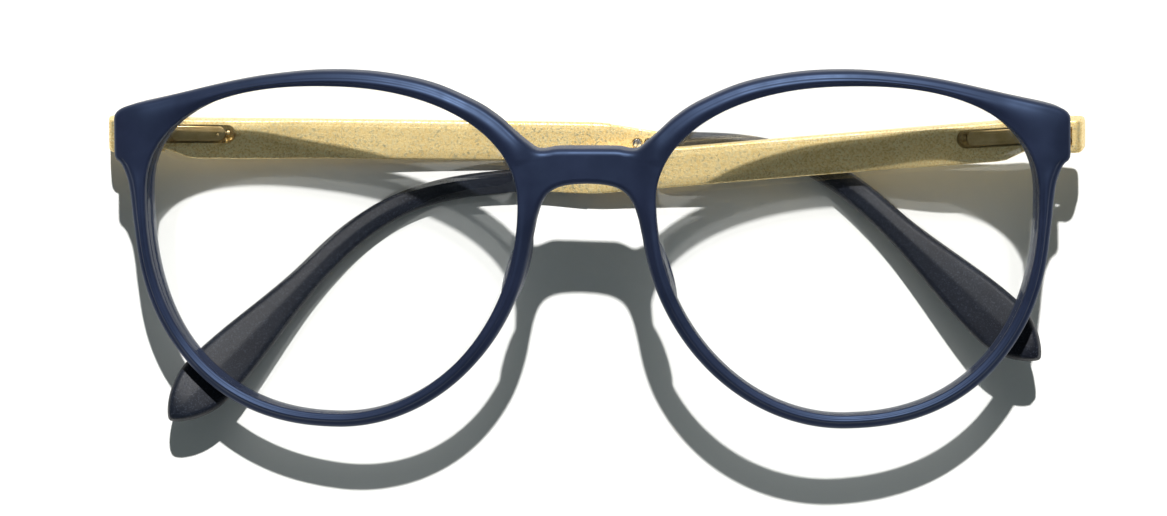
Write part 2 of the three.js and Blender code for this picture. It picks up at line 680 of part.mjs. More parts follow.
SIDES.forEach((side) => {
  const onFront = (geometry) => (side.sign > 0 ? geometry : mirrored(geometry));
  addPiece(front, `${side.name}_lens`, onFront(lensSolid()), 'clearLens');
  addPiece(front, `${side.name}_nose_pad`, onFront(nosePad()), 'navyAcetate');

  const pinGroup = new THREE.Group();
  pinGroup.position.set(side.sign * PIN_X, PIN_Y, SEAT_Z - PIN_DROP);
  front.add(pinGroup);
  addPiece(pinGroup, `${side.name}_hinge_bracket`, onFront(hingeBracket()), 'goldHardware');
  addPiece(pinGroup, `${side.name}_hinge_screw`, hingeScrew(), 'springSteel');
  anchorPlaces.forEach((place, i) => {
    addPiece(pinGroup, `${side.name}_bracket_pin_${i + 1}`, onFront(anchorPin(place)), 'springSteel');
  });

  const temple = new THREE.Group();
  temple.rotation.y = -side.sign * side.fold;
  pinGroup.add(temple);
  const spine = templeSpine(side.tilt);
  addPiece(temple, `${side.name}_temple_blade`, onSide(side, templeBlade(side, spine)), 'goldBlade');
  addPiece(temple, `${side.name}_temple_tip`, onSide(side, templeTip(spine)), 'darkTip');
  addPiece(temple, `${side.name}_hinge_slider`, onSide(side, hingeSlider(side)), 'goldHardware');
  addPiece(temple, `${side.name}_spring_collar`, onSide(side, springCollar(side)), 'springSteel');
  addPiece(temple, `${side.name}_hinge_spring`, onSide(side, hingeSpring(side)), 'springSteel');
  addPiece(temple, `${side.name}_spring_cap`, onSide(side, springCap(side)), 'goldHardware');
  TIP_SCREW.places.forEach((s, i) => {
    addPiece(temple, `${side.name}_tip_screw_${i + 1}`, onSide(side, tipScrew(spine, s)), 'springSteel');
  });
});

// The origin is on the surface, under the middle of the whole object.
const bounds = new THREE.Box3().setFromObject(glasses, true);
const middle = bounds.getCenter(new THREE.Vector3());
glasses.position.set(-middle.x, -middle.y, -bounds.min.z);

export default glasses;
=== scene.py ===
"""Visual model of folded full-rim eyeglasses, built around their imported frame.

Design sizes are in millimetres and become metres where a piece is placed. Places come
from the frame: the two hinge joints give the front's own axes and origin, and each
spring slide gives the direction of its temple.
"""

import json
import math

import bmesh
import bpy
from mathutils import Matrix, Vector


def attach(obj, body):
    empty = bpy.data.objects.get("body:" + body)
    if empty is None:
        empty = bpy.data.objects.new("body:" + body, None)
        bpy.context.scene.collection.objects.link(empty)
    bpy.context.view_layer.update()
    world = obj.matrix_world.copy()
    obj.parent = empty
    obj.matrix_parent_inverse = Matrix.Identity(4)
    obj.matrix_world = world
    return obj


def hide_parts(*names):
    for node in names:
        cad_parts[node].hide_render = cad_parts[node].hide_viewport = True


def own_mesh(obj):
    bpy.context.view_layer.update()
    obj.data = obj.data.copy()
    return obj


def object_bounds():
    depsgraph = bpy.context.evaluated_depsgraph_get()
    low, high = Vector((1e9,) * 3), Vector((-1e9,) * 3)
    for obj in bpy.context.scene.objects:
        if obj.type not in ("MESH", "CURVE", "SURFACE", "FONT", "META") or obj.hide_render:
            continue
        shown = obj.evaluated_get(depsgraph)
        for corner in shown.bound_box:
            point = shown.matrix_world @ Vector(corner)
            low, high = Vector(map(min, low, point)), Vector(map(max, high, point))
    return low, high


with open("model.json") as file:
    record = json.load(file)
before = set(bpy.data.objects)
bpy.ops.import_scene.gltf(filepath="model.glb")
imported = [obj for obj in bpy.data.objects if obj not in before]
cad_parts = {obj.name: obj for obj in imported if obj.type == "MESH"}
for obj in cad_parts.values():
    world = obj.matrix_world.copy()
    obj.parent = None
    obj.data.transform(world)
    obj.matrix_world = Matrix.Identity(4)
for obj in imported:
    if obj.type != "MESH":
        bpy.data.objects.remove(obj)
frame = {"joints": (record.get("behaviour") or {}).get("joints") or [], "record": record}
cad_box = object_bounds()

MM = 0.001
SIDES = ("left", "right")

# ---------------------------------------------------------------- driving sizes, in mm

# Front: the lens opening as four joined superellipse quarters, and the rim around it.
OPENING = {"centre_x": 33.6, "nasal": 24.6, "temporal": 25.4, "top": 15.2, "bottom": 28.35}
POWERS = {"top_temporal": 2.35, "top_nasal": 2.14, "bottom_nasal": 1.97, "bottom_temporal": 2.28}
RIM = {"nasal": 2.1, "temporal": 1.75, "bottom": 1.85}
RIM_TURNS = (-8, -171)
FRONT_BOW_RADIUS = 244
FRONT_TILT_RADIUS = 300
RIM_THICKNESS = 3.6
DEEP_THICKNESS = 4.6
BRIDGE_BLEND = (4.5, 7.5)
BRIDGE_SETBACK = 1.6
SETBACK_BLEND = (4.5, 9.5)
ENDPIECE_BLEND = (54, 60)
FRONT_EDGE_ROUND = 0.8
FRONT_CROWN = 0.24
CROWN_BLEND = (5.5, 12)
BACK_EDGE_ROUND = 0.7
OPENING_EDGE_ROUND = 0.4
OUTLINE_STEP = 0.55

# Outlines of the front's right half: x, y, and the turn of the opening point they face.
BROW = [
    (0, 7.25, 163), (3.9, 7.22, 161.6), (5.3, 7.0, 160.8), (6.5, 7.05, 159.6), (7.4, 7.7, 157.5),
    (9.4, 9.45, 152), (11.6, 11.4, 144), (14.8, 13.4, 132.5), (20.6, 15.75, 117), (27.5, 17.0, 103),
    (34.4, 17.2, 89), (41, 16.6, 74), (47.5, 15.45, 59), (56.4, 13.25, 38), (60.5, 12.25, 28.5),
    (62.35, 11.6, 23.5), (63.2, 10.75, 20.5), (63.3, 9.6, 18.5),
]
SHOULDER = [
    (63.3, 5.4, 10.5), (63.0, 4.8, 8.5), (62.4, 4.35, 6.8), (61.95, 3.5, 5), (61.45, 2.1, 2.5),
    (61.1, 0, -1), (60.85, -2.6, -4.5),
]
ARCH = [
    (6.75, -2.2, -175.4), (6.1, -0.2, -178.5), (5.2, 1.2, -181.8), (3.9, 2.05, -184.5),
    (2.1, 2.48, -187), (0, 2.6, -189),
]
SEAM_STEPS = 8

# Lens and its groove. The faces stop inside the opening, and the edge reaches into the groove.
LENS = {"thickness": 1.8, "inset": 0.45, "grip": 0.5, "edge": 0.06, "core_share": 0.04}
GROOVE = {"mouth": 0.95, "depth": 0.8, "apex": 0.16}

# Nose pad on the back of the rim: a dome whose foot is sunk into the rim.
PAD = {
    "x": 9.55, "y": -9.2, "lean": math.radians(17), "half_width": 1.35, "half_height": 5.6,
    "height": 2.2, "splay": 0.12, "gap": 0.6, "sunk": 0.3, "foot_share": 0.97,
    "fullness": 0.7, "last_rise": math.radians(82),
}

# Hinge: the pin's place on the front, and the bracket that carries it.
PIN = Vector((60.4, 7.3, -14.3))
PIN_DROP = 4.6
PIN_RADIUS = 0.6
EAR = {"inner": 2.4, "thickness": 0.7, "radius": 1.35}
PLATE = {"inner": -1.45, "outer": 1.6, "thickness": 1.0}
HINGE_HEAD = {"radius": 1.0, "sunk": 0.45, "proud": 0.1, "slot_width": 0.28, "slot_depth": 0.2}
ANCHOR = {"radius": 0.5, "head_radius": 0.85, "head_height": 0.4, "depth": 1.2, "x": 0.4, "y": 1.3}
SEAT = {"reach": 0.2, "gap": 0.04}  # the flat on the front's back, under the bracket
FIT_GAP = 0.15
OVERLAP = 0.1  # how far joined pieces reach into each other
HAIR = 0.002  # keeps two faces from coinciding
WELD = 0.0005
CLEAR = 6  # where a cutter ends when it goes right through a piece

# Widths of the rounded edges of the small metal parts.
EDGES = {"screw": 0.08, "pin": 0.06, "bracket": 0.06, "steel": 0.05, "slot": 0.02, "cap": 0.14}

# Temple: lengths are measured from the pin along the temple.
TILTS = {"left": math.radians(5.3), "right": math.radians(1.4)}
BUTT = {"reach": 4.2, "end": 3.2, "half_thickness": 2.4, "half_height": 2.2}
BUTT_STATIONS = (-3.3, -1)
BUTT_BLEND = 4
TURN_BLEND = 0.4
DROP_BLEND = (-0.2, 4)
STEP_EDGE = 0.05
# The butt's end: distance along, cut off its half height, its outer and inner face, and corner.
BUTT_ROUNDING = (
    (0, 0.35, 0.35, 0.95, 0.9),
    (0.12, 0.15, 0.14, 0.6, 0.65),
    (0.38, 0.02, 0.04, 0.28, 0.45),
)
BLADE = {"half_height": 2.6, "thickness": 1.8, "pocket_thickness": 2.9, "drop": 0.75, "narrows": 60}
BLADE_THINS = (1, 12)
BLADE_CORNER = 0.3
TONGUE = {"start": 62.6, "end": 71, "thickness": 0.8, "inset": 0.4, "corner": 0.12, "straight": 0.8}
# The tongue's end: distance back from it, and cut off its half height.
TONGUE_ROUNDING = ((0.4, 0.1), (0.15, 0.35), (0, 0.8))
NECK_HALF_HEIGHT = 1.5
TIP_END = 131.2
EAR_BEND = {"start": 74, "length": 30, "angle": math.radians(41.4)}
BLADE_BOW_RADIUS = 855
TIP_BOW_START = 72
TIP_BOW_RADIUS = 140
# Tip: each blend is a stretch of the temple over which the tip takes on its next form.
TIP_THICKNESS = 2.9
THICKNESS_BLEND = (72, 112)
TIP_CORNER = 0.9
CORNER_BLEND = (72, 90)
TIP_RIDGE = 0.3
RIDGE_BLEND = (78, 92)
WAIST_HALF_HEIGHT = 1.8
WAIST_BLEND = (84, 104)
PADDLE_HALF_HEIGHT = 3.7
PADDLE_BLEND = (102, 124)
LAP = {"start": 0.3, "end": 0.25, "shoulder": 0.3}
TIP_POINT = {
    "length": 7, "reach": 0.99, "power": 1.8, "fullness": 0.72,
    "thinnest": 0.3, "thin_reach": 0.97, "thin_power": 4, "rise": 0.4,
}
TIP_SCREW = {
    "radius": 0.35, "head_radius": 0.6, "length": 1.45, "head_height": 0.3, "proud": 0.1,
    "slot_depth": 0.08, "slot_width": 0.18, "slot_turns": (math.radians(75), math.radians(115)),
    "places": (66.2, 67.8),
}
SPINE_STEP = 0.25

# A bar's section: the most a corner may take of its sides, and the shape of its ridge.
CORNER_LIMIT = 0.45
RIDGE_SHARES = (0.5, 0.22, 0.08)
CREST_FLAT = 0.04
FLOOR_SHARE = 0.4

# Spring hinge inside the blade.
POCKET = {"half_height": 1.25, "start": -2.95, "end": 12.6, "floor": -1.7, "throat_end": 2.2}
POCKET_TURN_SHARE = 0.75
SLIDER = {"half_height": 1.05, "bottom": -1.5, "top": -0.45, "end": 6.2, "eye_radius": 1.25}
ROD = {"radius": 0.22, "z": -1.0, "end": 11.4, "head_radius": 0.5, "head_length": 0.5}
COLLAR = {"start": 7.9, "end": 8.7, "hole": 0.4}
COIL_STEPS = 28
SPRING = {"start": 8.9, "end": 11.2, "radius": 0.42, "wire": 0.09, "turns": 5}
CAP = {"start": 3.9, "end": 11.3, "bottom": -0.25, "top": 0.2}
SLIDE_TRAVEL = 1.5

# ---------------------------------------------------------------- places from the frame

joints = {joint["name"]: joint for joint in frame["joints"]}
pins = {side: Vector(joints[f"{side}_temple_hinge"]["pos_m"]) for side in SIDES}
front_x = (pins["left"] - pins["right"]).normalized()
front_y = -Vector(joints["left_temple_hinge"]["axis"]).normalized()
front_z = front_x.cross(front_y)


def placement(origin, x_axis, y_axis, z_axis):
    """The matrix that takes millimetres along three axes to metres in the row frame."""
    turn = Matrix((x_axis, y_axis, z_axis)).transposed().to_4x4()
    return Matrix.Translation(origin) @ turn @ Matrix.Scale(MM, 4)


pin_middle = (pins["left"] + pins["right"]) / 2
front_origin = pin_middle - (front_y * PIN.y + front_z * PIN.z) * MM
FRONT = placement(front_origin, front_x, front_y, front_z)


def hinge_place(side):
    """Axes at a pin with x pointing outwards, away from the nose."""
    outwards = front_x if side == "left" else -front_x
    return placement(pins[side], outwards, front_y, front_z)


def temple_direction(side):
    """The way from a pin towards its temple's tip."""
    slide = Vector(joints[f"{side}_spring_slide"]["axis"]).normalized()
    across = pins["right" if side == "left" else "left"] - pins[side]
    return slide if slide.dot(across) > 0 else -slide


def temple_place(side):
    """Axes at a pin with x along the temple and z towards its inner face."""
    along = temple_direction(side)
    inward = along.cross(front_y)
    if side == "left":
        inward.negate()
    return placement(pins[side], along, front_y, inward)


# ---------------------------------------------------------------- small helpers

def lerp(low, high, share):
    return low + (high - low) * share


def smooth(start, end, value):
    """Eases from 0 to 1 as value goes from start to end."""
    share = min(max((value - start) / (end - start), 0), 1)
    return share * share * (3 - 2 * share)


def steps(start, end, count):
    """count + 1 evenly spaced numbers from start to end."""
    return [lerp(start, end, i / count) for i in range(count + 1)]


def catmull_rom(points, per_span):
    """Points on a Catmull-Rom spline through points, each a tuple of any length."""
    padded = [points[0], *points, points[-1]]
    result = []
    for a, b, c, d in zip(padded, padded[1:], padded[2:], padded[3:]):
        for i in range(per_span):
            t = i / per_span
            result.append(tuple(
                0.5 * (2 * q + (r - p) * t + (2 * p - 5 * q + 4 * r - s) * t ** 2
                       + (3 * q - p - 3 * r + s) * t ** 3)
                for p, q, r, s in zip(a, b, c, d)
            ))
    result.append(tuple(points[-1]))
    return result


def resampled(points, step):
    """The polyline walked at even steps. The first two numbers of a point are its place."""
    lengths = [0]
    for a, b in zip(points, points[1:]):
        lengths.append(lengths[-1] + math.hypot(b[0] - a[0], b[1] - a[1]))
    count = round(lengths[-1] / step)
    result = []
    span = 0
    for i in range(count + 1):
        target = lengths[-1] * i / count
        while span < len(points) - 2 and lengths[span + 1] < target:
            span += 1
        width = max(lengths[span + 1] - lengths[span], 1e-9)
        share = min(max((target - lengths[span]) / width, 0), 1)
        result.append(tuple(lerp(a, b, share) for a, b in zip(points[span], points[span + 1])))
    return result


# ---------------------------------------------------------------- mesh building

def build_object(name, points, faces, place, sharp_angle=38):
    """A mesh object from points in mm, welded, with faces out and edges sharp past an angle."""
    mesh = bpy.data.meshes.new(name)
    mesh.from_pydata([place @ Vector(point) for point in points], [], faces)
    bm = bmesh.new()
    bm.from_mesh(mesh)
    bmesh.ops.remove_doubles(bm, verts=bm.verts, dist=WELD * MM)
    bmesh.ops.dissolve_degenerate(bm, edges=bm.edges, dist=WELD * MM)
    bmesh.ops.recalc_face_normals(bm, faces=bm.faces)
    bm.to_mesh(mesh)
    bm.free()
    piece = bpy.data.objects.new(name, mesh)
    bpy.context.scene.collection.objects.link(piece)
    shade(piece, sharp_angle)
    return piece


def shade(piece, sharp_angle):
    """Smooth shading, with edges sharp past an angle in degrees."""
    piece.data.shade_smooth()
    piece.data.set_sharp_from_angle(angle=math.radians(sharp_angle))


def loft(rings, closed_ends=True):
    """Points and faces of a surface through rings with equal numbers of points."""
    count = len(rings[0])
    points = [point for ring in rings for point in ring]
    faces = []
    for ring in range(len(rings) - 1):
        for i in range(count):
            a = ring * count + i
            b = ring * count + (i + 1) % count
            faces.append((a, b, b + count, a + count))
    if closed_ends:
        faces.append(tuple(range(count)))
        last = (len(rings) - 1) * count
        faces.append(tuple(range(last, last + count)))
    return points, faces


def keep_modified(piece):
    """Keeps the result of a piece's modifiers as its mesh."""
    bpy.context.view_layer.update()
    graph = bpy.context.evaluated_depsgraph_get()
    mesh = bpy.data.meshes.new_from_object(piece.evaluated_get(graph))
    piece.modifiers.clear()
    piece.data = mesh


def combine(piece, tools, operation):
    """Joins tools to a piece or cuts them from it, and removes the tools."""
    for tool in tools:
        modifier = piece.modifiers.new(operation.lower(), "BOOLEAN")
        modifier.operation = operation
        modifier.solver = "EXACT"
        modifier.object = tool
    keep_modified(piece)
    for tool in tools:
        bpy.data.objects.remove(tool)
    return piece


def soften(piece, width, segments=2, sharp_angle=38):
    """Rounds the hard edges of a piece by a width in mm."""
    bevel = piece.modifiers.new("soft_edges", "BEVEL")
    bevel.width = width * MM
    bevel.segments = segments
    bevel.limit_method = "ANGLE"
    bevel.angle_limit = math.radians(sharp_angle)
    keep_modified(piece)
    shade(piece, sharp_angle)
    return piece


def circle(radius, count=32, centre=(0, 0)):
    return [
        (centre[0] + radius * math.cos(turn), centre[1] + radius * math.sin(turn))
        for turn in (2 * math.pi * i / count for i in range(count))
    ]


def rectangle(low_x, high_x, low_y, high_y):
    return [(low_x, low_y), (high_x, low_y), (high_x, high_y), (low_x, high_y)]


def obround(low_x, high_x, half, count=12):
    """A slot outline with round ends along x."""
    turns = steps(-math.pi / 2, math.pi / 2, count)
    right = [(high_x - half + half * math.cos(turn), half * math.sin(turn)) for turn in turns]
    left = [(low_x + half - half * math.cos(turn), -half * math.sin(turn)) for turn in turns]
    return right + left


AXES = {
    "x": lambda a, b, along: (along, a, b),
    "y": lambda a, b, along: (b, along, a),
    "z": lambda a, b, along: (a, b, along),
}


def prism(name, outline, start, end, axis, place, turn=0, edge=0):
    """An outline pushed along an axis, its end edges rounded by edge, turned about z."""
    rotation = Matrix.Rotation(turn, 4, "Z")
    count = len(outline)
    middle = (sum(p[0] for p in outline) / count, sum(p[1] for p in outline) / count)
    reach = max(math.hypot(p[0] - middle[0], p[1] - middle[1]) for p in outline)
    layers = [(start, 1), (end, 1)]
    if edge:
        shrink = 1 - edge / reach
        layers = [(start, shrink), (start + edge, 1), (end - edge, 1), (end, shrink)]
    rings = [
        [rotation @ Vector(AXES[axis](lerp(middle[0], a, share), lerp(middle[1], b, share), along))
         for a, b in outline]
        for along, share in layers
    ]
    return build_object(name, *loft(rings), place)


def rod(name, radius, start, end, axis, place, turn=0, edge=0, centre=(0, 0), count=32):
    return prism(name, circle(radius, count, centre), start, end, axis, place, turn, edge)


# ---------------------------------------------------------------- front

def opening_point(turn, grow):
    """A point of the right lens opening at a turn in degrees, grown by widths."""
    angle = math.radians(turn)
    cos, sin = math.cos(angle), math.sin(angle)
    across = "temporal" if cos >= 0 else "nasal"
    level = "top" if sin >= 0 else "bottom"
    power = 2 / POWERS[f"{level}_{across}"]
    reach_x = OPENING[across] + grow.get(across, 0)
    reach_y = OPENING[level] + grow.get(level, 0)
    return (
        OPENING["centre_x"] + math.copysign(reach_x * abs(cos) ** power, cos),
        math.copysign(reach_y * abs(sin) ** power, sin),
    )


def even(width):
    """The same width on all four sides of an opening."""
    return {"nasal": width, "temporal": width, "top": width, "bottom": width}


def bow(point):
    """Wraps the flat pattern on the shallow dome of the front, with the bridge set back."""
    x, y, z = point
    set_back = BRIDGE_SETBACK * (1 - smooth(*SETBACK_BLEND, abs(x)))
    radius = FRONT_BOW_RADIUS + z - set_back
    angle = x / FRONT_BOW_RADIUS
    drop = y ** 2 / (2 * FRONT_TILT_RADIUS)
    return Vector((radius * math.sin(angle), y, radius * math.cos(angle) - FRONT_BOW_RADIUS - drop))


def half_thickness(x):
    bridge = 1 - smooth(*BRIDGE_BLEND, abs(x))
    endpiece = smooth(*ENDPIECE_BLEND, abs(x))
    return lerp(RIM_THICKNESS, DEEP_THICKNESS, max(bridge, endpiece)) / 2


def crown(x, side):
    """How far the rim's middle stands above its edges, on its front face."""
    return FRONT_CROWN * smooth(*CROWN_BLEND, abs(x)) if side > 0 else 0


def outer_outline():
    """The right half's outline from the bridge's top to its arch, each with its inner turn."""
    lower_rim = [(*opening_point(turn, RIM), turn) for turn in steps(*RIM_TURNS, 90)]
    path = catmull_rom(BROW, 12) + catmull_rom(SHOULDER, 8) + lower_rim + catmull_rom(ARCH, 8)
    return resampled(path, OUTLINE_STEP)


def inward_normals(outline):
    """Unit normals that point into the material, for an outline walked clockwise."""
    raw = []
    for i in range(len(outline)):
        before = outline[max(i - 1, 0)]
        after = outline[min(i + 1, len(outline) - 1)]
        raw.append(Vector((after[1] - before[1], before[0] - after[0])).normalized())
    even_out = []
    for i in range(len(raw)):
        near = raw[max(i - 1, 0):i + 2]
        even_out.append(sum(near, Vector((0, 0))).normalized())
    even_out[0] = Vector((0, -1))
    even_out[-1] = Vector((0, 1))
    return even_out


def opening_normal(turn):
    """The direction from the opening's edge into the rim."""
    a = Vector(opening_point(turn - 0.5, even(0)))
    b = Vector(opening_point(turn + 0.5, even(0)))
    tangent = (b - a).normalized()
    return Vector((tangent.y, -tangent.x))


def rim_section(outer, inward, turn, seam_share=None):
    """One closed section through the rim, as flat-pattern points (x, y, z)."""
    inner = Vector(opening_point(turn, even(0)))
    into_rim = opening_normal(turn)
    quarter = steps(0, math.pi / 2, 6)

    def outer_at(radius, cover):
        if seam_share is None:
            return outer + inward * (radius * cover)
        low = ARCH[-1][1] + radius
        high = BROW[0][1] - radius
        return Vector((0, lerp(low, high, seam_share)))

    def lifted(place, side, inset):
        return (place.x, place.y, side * (half_thickness(place.x) - inset - crown(place.x, side)))

    def outer_edge(radius, side):
        return [
            lifted(outer_at(radius, 1 - math.sin(a)), side, radius * (1 - math.cos(a))) for a in quarter
        ]

    def inner_edge(side):
        radius = OPENING_EDGE_ROUND
        return [
            lifted(inner + into_rim * (radius * (1 - math.sin(a))), side, radius * (1 - math.cos(a)))
            for a in quarter
        ]

    def face(radius, side):
        near = outer_at(radius, 1)
        far = inner + into_rim * OPENING_EDGE_ROUND
        row = [(near.lerp(far, share), 4 * share * (1 - share)) for share in steps(0, 1, 10)[1:-1]]
        return [lifted(place, side, -rise * crown(place.x, side)) for place, rise in row]

    groove = [
        (inner, GROOVE["mouth"]), (inner + into_rim * GROOVE["depth"], GROOVE["apex"]),
        (inner + into_rim * GROOVE["depth"], -GROOVE["apex"]), (inner, -GROOVE["mouth"]),
    ]
    front_side = outer_edge(FRONT_EDGE_ROUND, 1)
    back_side = outer_edge(BACK_EDGE_ROUND, -1)
    return [
        *face(FRONT_EDGE_ROUND, 1)[::-1], *front_side, *back_side[::-1],
        *face(BACK_EDGE_ROUND, -1), *inner_edge(-1),
        *[(place.x, place.y, z) for place, z in groove[::-1]], *inner_edge(1)[::-1],
    ]


def front_frame():
    """Sections round the right rim, mirrored to the left and wrapped on the dome."""
    outline = outer_outline()
    normals = inward_normals(outline)
    sections = [
        rim_section(Vector(point[:2]), normal, point[2]) for point, normal in zip(outline, normals)
    ]
    last_turn = ARCH[-1][2]
    first_turn = BROW[0][2] - 360
    for share in steps(0, 1, SEAM_STEPS)[1:-1]:
        sections.append(rim_section(None, None, lerp(last_turn, first_turn, share), share))
    points, faces = loft(sections + sections[:1], closed_ends=False)
    flat = [face for face in faces if not all(abs(points[i][0]) < 1e-6 for i in face)]
    both = points + [(-x, y, z) for x, y, z in points]
    mirrored = [tuple(i + len(points) for i in reversed(face)) for face in flat]
    bowed = [bow(point) for point in both]
    seat = PIN.z + PIN_DROP + SEAT["gap"]
    for point in bowed:
        if abs(point.x) > PIN.x - SEAT["reach"]:
            point.z = max(point.z, seat)
    return build_object("front_frame_shape", bowed, flat + mirrored, FRONT, sharp_angle=50)


def lens(side):
    """Two faces that stop inside the opening, and an edge that reaches into the groove."""
    sign = 1 if side == "left" else -1
    face_z = LENS["thickness"] / 2
    centre = OPENING["centre_x"]
    shares = steps(LENS["core_share"], 1, 14)
    layers = [
        *[(share, -LENS["inset"], face_z) for share in shares],
        (1, LENS["grip"], LENS["edge"]), (1, LENS["grip"], -LENS["edge"]),
        *[(share, -LENS["inset"], -face_z) for share in reversed(shares)],
    ]
    rings = []
    for share, grow, z in layers:
        ring = []
        for turn in steps(0, 360, 120)[:-1]:
            x, y = opening_point(turn, even(grow))
            ring.append(bow((sign * lerp(centre, x, share), y * share, z)))
        rings.append(ring)
    return build_object(f"{side}_lens_shape", *loft(rings), FRONT)


def nose_pad(side):
    """A low leaning dome on the back of the rim, its foot sunk into the rim."""
    sign = 1 if side == "left" else -1
    back = RIM_THICKNESS / 2 + PAD["gap"]
    layers = [(-PAD["gap"] - PAD["sunk"], PAD["foot_share"])]
    for rise in steps(0, PAD["last_rise"], 10):
        layers.append((PAD["height"] * math.sin(rise), math.cos(rise) ** PAD["fullness"]))
    rings = []
    for depth, share in layers:
        ring = []
        for turn in steps(0, 2 * math.pi, 48)[:-1]:
            flat = Vector((PAD["half_width"] * math.cos(turn), PAD["half_height"] * math.sin(turn)))
            flat *= share
            flat.rotate(Matrix.Rotation(PAD["lean"], 2))
            x = PAD["x"] + flat.x - PAD["splay"] * depth
            ring.append(bow((sign * x, PAD["y"] + flat.y, -back - depth)))
        rings.append(ring)
    return build_object(f"{side}_nose_pad_shape", *loft(rings), FRONT)


# ---------------------------------------------------------------- hinge

ANCHOR_PLACES = ((ANCHOR["x"], -ANCHOR["y"]), (ANCHOR["x"], ANCHOR["y"]))
EAR_OUTER = EAR["inner"] + EAR["thickness"]


def hinge_bracket(side):
    """A plate with two ears, bored for the hinge screw and its anchor pins."""
    place = hinge_place(side)
    plate = prism(
        f"{side}_hinge_bracket_shape",
        rectangle(PLATE["inner"], PLATE["outer"], -EAR_OUTER, EAR_OUTER),
        PIN_DROP, PIN_DROP + PLATE["thickness"], "z", place,
    )
    radius = EAR["radius"]
    root = PIN_DROP + PLATE["thickness"] / 2 - OVERLAP
    arc = [(radius * math.cos(a), radius * math.sin(a)) for a in steps(math.pi / 2, 1.5 * math.pi, 24)]
    outline = [(root, -radius), (root, radius), *arc]
    ears = [
        prism("ear", outline, low, low + EAR["thickness"], "y", place)
        for low in (EAR["inner"], -EAR_OUTER)
    ]
    combine(plate, ears, "UNION")
    head_floor = EAR_OUTER - HINGE_HEAD["sunk"]
    cutters = [
        rod("bore", PIN_RADIUS + FIT_GAP / 2, -CLEAR, CLEAR, "y", place),
        rod("head_seat", HINGE_HEAD["radius"] + FIT_GAP, head_floor, CLEAR, "y", place),
    ]
    low = PIN_DROP - PLATE["thickness"]
    high = PIN_DROP + 3 * PLATE["thickness"]
    hole_radius = ANCHOR["radius"] + FIT_GAP
    seat_radius = ANCHOR["head_radius"] + FIT_GAP
    seat_end = PIN_DROP + ANCHOR["head_height"]
    for spot in ANCHOR_PLACES:
        cutters.append(rod("hole", hole_radius, low, high, "z", place, centre=spot))
        cutters.append(rod("seat", seat_radius, low, seat_end, "z", place, centre=spot))
    combine(plate, cutters, "DIFFERENCE")
    return soften(plate, EDGES["bracket"])


def hinge_screw(side):
    place = hinge_place(side)
    top = EAR_OUTER + HINGE_HEAD["proud"]
    bottom = EAR_OUTER - HINGE_HEAD["sunk"] + FIT_GAP
    slot_floor = top - HINGE_HEAD["slot_depth"]
    head = rod(
        f"{side}_hinge_screw_shape", HINGE_HEAD["radius"], bottom, top, "y", place,
        edge=EDGES["screw"], count=48,
    )
    shank_top = slot_floor - HINGE_HEAD["slot_depth"]
    shank = rod("shank", PIN_RADIUS, -EAR_OUTER, shank_top, "y", place, edge=EDGES["screw"])
    combine(head, [shank], "UNION")
    half = HINGE_HEAD["slot_width"] / 2
    slot = prism("slot", rectangle(-half, half, -CLEAR, CLEAR), slot_floor, CLEAR, "y", place)
    return soften(combine(head, [slot], "DIFFERENCE"), EDGES["slot"])


def bracket_pin(side, number):
    spot = ANCHOR_PLACES[number - 1]
    place = hinge_place(side)
    head_end = PIN_DROP + ANCHOR["head_height"] - FIT_GAP
    head = rod(
        f"{side}_bracket_pin_{number}_shape", ANCHOR["head_radius"], PIN_DROP, head_end, "z", place,
        edge=EDGES["pin"], centre=spot,
    )
    shank = rod(
        "shank", ANCHOR["radius"], PIN_DROP + OVERLAP, PIN_DROP + PLATE["thickness"] + ANCHOR["depth"],
        "z", place, edge=EDGES["pin"], centre=spot,
    )
    return soften(combine(head, [shank], "UNION"), EDGES["slot"])


# ---------------------------------------------------------------- temple

class Spine:
    """Centre line of a temple's outer face, with its heading and its lean inwards."""

    def __init__(self, tilt):
        start = -BUTT["reach"]
        self.count = round((TIP_END - start) / SPINE_STEP)
        self.rows = [(start, 0.0, 0.0, 0.0, 0.0)]
        for i in range(1, self.count + 1):
            s = start + i * SPINE_STEP
            x, y, z = self.rows[-1][:3]
            bend = smooth(EAR_BEND["start"], EAR_BEND["start"] + EAR_BEND["length"], s)
            turned = smooth(BUTT["end"] - TURN_BLEND, BUTT["end"] + TURN_BLEND, s)
            heading = -tilt * turned - EAR_BEND["angle"] * bend
            lean = max(s, 0) / BLADE_BOW_RADIUS
            lean += max(s - TIP_BOW_START, 0) * (1 / TIP_BOW_RADIUS - 1 / BLADE_BOW_RADIUS)
            self.rows.append((
                x + SPINE_STEP * math.cos(heading) * math.cos(lean),
                y + SPINE_STEP * math.sin(heading) * math.cos(lean),
                z + SPINE_STEP * math.sin(lean),
                heading,
                lean,
            ))

    def point(self, s, up, inward):
        """A point along the temple, up across its height, and in from its outer face."""
        at = min(max((s + BUTT["reach"]) / SPINE_STEP, 0), self.count - 1e-6)
        low, high = self.rows[int(at)], self.rows[int(at) + 1]
        x, y, z, heading, lean = (lerp(a, b, at - int(at)) for a, b in zip(low, high))
        across = Vector((-math.sin(heading), math.cos(heading), 0))
        along = Vector((
            math.cos(heading) * math.cos(lean), math.sin(heading) * math.cos(lean), math.sin(lean),
        ))
        drop = BLADE["drop"] * smooth(BUTT["end"] + DROP_BLEND[0], BUTT["end"] + DROP_BLEND[1], s)
        foot = Vector((x, y, z - BUTT["half_thickness"]))
        return foot + across * (up - drop) + along.cross(across) * inward


